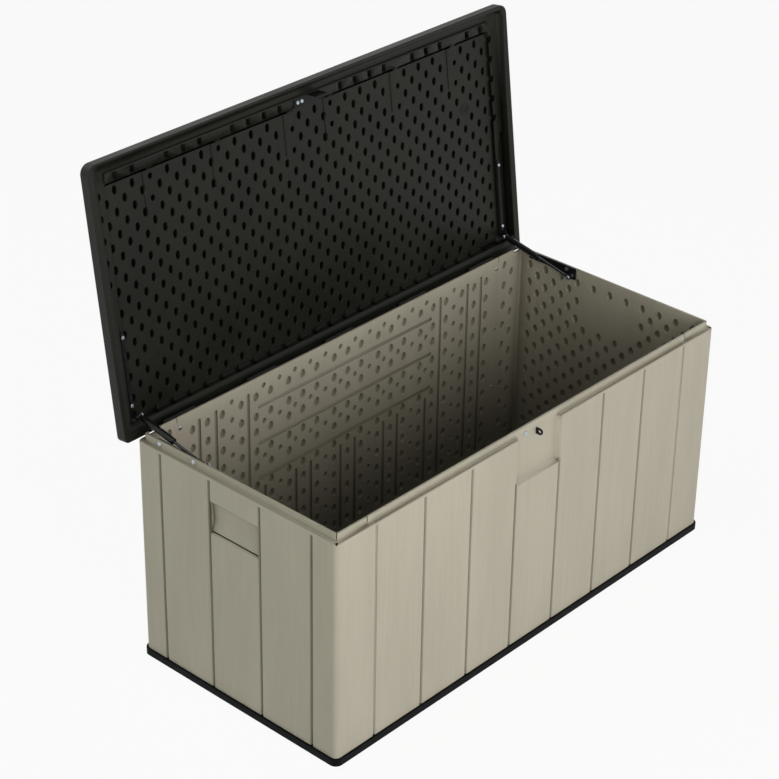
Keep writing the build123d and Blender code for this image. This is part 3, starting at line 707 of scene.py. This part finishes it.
# %% Who is looking
def looked_at(nodes, links):
    """One for rays from the camera or off a shiny or clear surface, nought for other light."""
    path = nodes.new("ShaderNodeLightPath")
    amount = path.outputs["Is Camera Ray"]
    for kind in ("Is Glossy Ray", "Is Transmission Ray"):
        larger = nodes.new("ShaderNodeMath")
        larger.operation = "MAXIMUM"
        links.new(amount, larger.inputs[0])
        links.new(path.outputs[kind], larger.inputs[1])
        amount = larger.outputs["Value"]
    return amount


def blend_shaders(nodes, links, amount, first, second, surface):
    blend = nodes.new("ShaderNodeMixShader")
    links.new(amount, blend.inputs["Fac"])
    links.new(first, blend.inputs[1])
    links.new(second, blend.inputs[2])
    links.new(blend.outputs["Shader"], surface)


# %% Floor
floor_radius = 30
floor_drop = 0.5 * mm
own_white = 0.93
floor_mesh = bmesh.new()
bmesh.ops.create_circle(floor_mesh, cap_ends=True, segments=96, radius=floor_radius)
floor = to_piece("floor", floor_mesh)
floor.location.z = -floor_drop

pale = new_finish("pale_floor", 0.9, 0.0)
nodes, links = pale.node_tree.nodes, pale.node_tree.links
shader = nodes["Principled BSDF"]
shader.inputs["Base Color"].default_value = (0.86, 0.86, 0.86, 1)
glow = nodes.new("ShaderNodeEmission")
glow.inputs["Color"].default_value = (1, 1, 1, 1)
white_share = scale_by(pale, looked_at(nodes, links), own_white)
surface = nodes["Material Output"].inputs["Surface"]
blend_shaders(nodes, links, white_share, shader.outputs["BSDF"], glow.outputs["Emission"], surface)
floor.data.materials.append(pale)
print("floor", floor.dimensions[:2])

# %% Sky
sky_strength = 3.3
sky_tint = (0.95, 1, 0.9)
sky_stops = ((0.0, 1.0), (0.14, 0.18), (0.7, 0.02))
sky = bpy.data.worlds.new("studio")
bpy.context.scene.world = sky
sky.use_nodes = True
nodes, links = sky.node_tree.nodes, sky.node_tree.links
soft = nodes["Background"]
soft.inputs["Strength"].default_value = sky_strength
height = nodes.new("ShaderNodeSeparateXYZ")
links.new(nodes.new("ShaderNodeTexCoord").outputs["Generated"], height.inputs["Vector"])
fall = nodes.new("ShaderNodeValToRGB")
fall.color_ramp.elements.new(sky_stops[1][0])
for element, (stop, share) in zip(fall.color_ramp.elements, sky_stops):
    element.position = stop
    element.color = (*(c * share for c in sky_tint), 1)
links.new(height.outputs["Z"], fall.inputs["Fac"])
links.new(fall.outputs["Color"], soft.inputs["Color"])
white = nodes.new("ShaderNodeBackground")
white.inputs["Color"].default_value = (1, 1, 1, 1)
white.inputs["Strength"].default_value = 1.0
surface = nodes["World Output"].inputs["Surface"]
seen = looked_at(nodes, links)
blend_shaders(nodes, links, seen, soft.outputs["Background"], white.outputs["Background"], surface)
print("sky", [round(element.position, 2) for element in fall.color_ramp.elements])

# %% Lamps
lamp_aim = Vector((0, 0, 0.5))


def add_lamp(name, place, size, power, tint):
    lamp_data = bpy.data.lights.new(name, "AREA")
    lamp_data.shape = "DISK"
    lamp_data.size = size
    lamp_data.energy = power
    lamp_data.color = tint
    lamp = bpy.data.objects.new(name, lamp_data)
    lamp.location = place
    lamp.rotation_euler = (lamp_aim - Vector(place)).to_track_quat("-Z", "Y").to_euler()
    bpy.context.scene.collection.objects.link(lamp)
    print(name, power, "W")


add_lamp("front_lamp", (-0.6, -5.2, 1.4), 3.0, 40, (1, 0.9, 1))
add_lamp("key_lamp", (-1.3, -4.7, 2.7), 3.0, 78, (1, 1, 0.9))
add_lamp("back_lamp", (-1.2, 2.8, 4.4), 2.6, 50, (0.965, 1, 0.91))

# %% Colour view
bpy.context.scene.view_settings.view_transform = "Standard"
